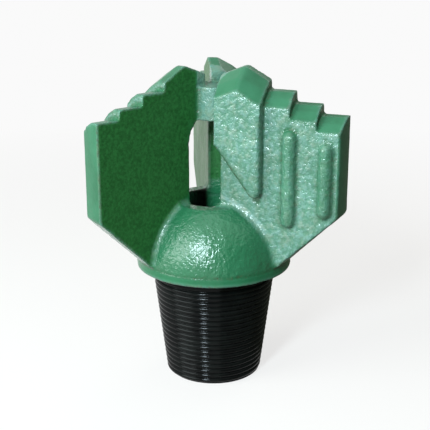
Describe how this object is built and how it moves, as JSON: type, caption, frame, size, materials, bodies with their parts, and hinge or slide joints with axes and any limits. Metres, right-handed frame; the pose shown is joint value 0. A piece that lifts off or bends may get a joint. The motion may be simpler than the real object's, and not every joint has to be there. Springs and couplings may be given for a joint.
{
  "type": "step drag bit",
  "caption": "Winged step drag bit, one steel casting: stepped cutting wings on a domed crown with a central water way, above a tapered threaded pin.",
  "frame": {"origin": "on the bit's axis, in the plane of the pin shoulder", "axes": "+Z along the axis towards the cutting end, +Y along the first wing"},
  "size_m": [0.2304, 0.2108, 0.2974],
  "materials": {
    "green_enamel": "gloss green enamel over a cast steel surface",
    "black_lacquer": "satin black rust preventive on the machined pin"
  },
  "bodies": {
    "root": {"drag_bit_body": "green_enamel"}
  },
  "joints": []
}
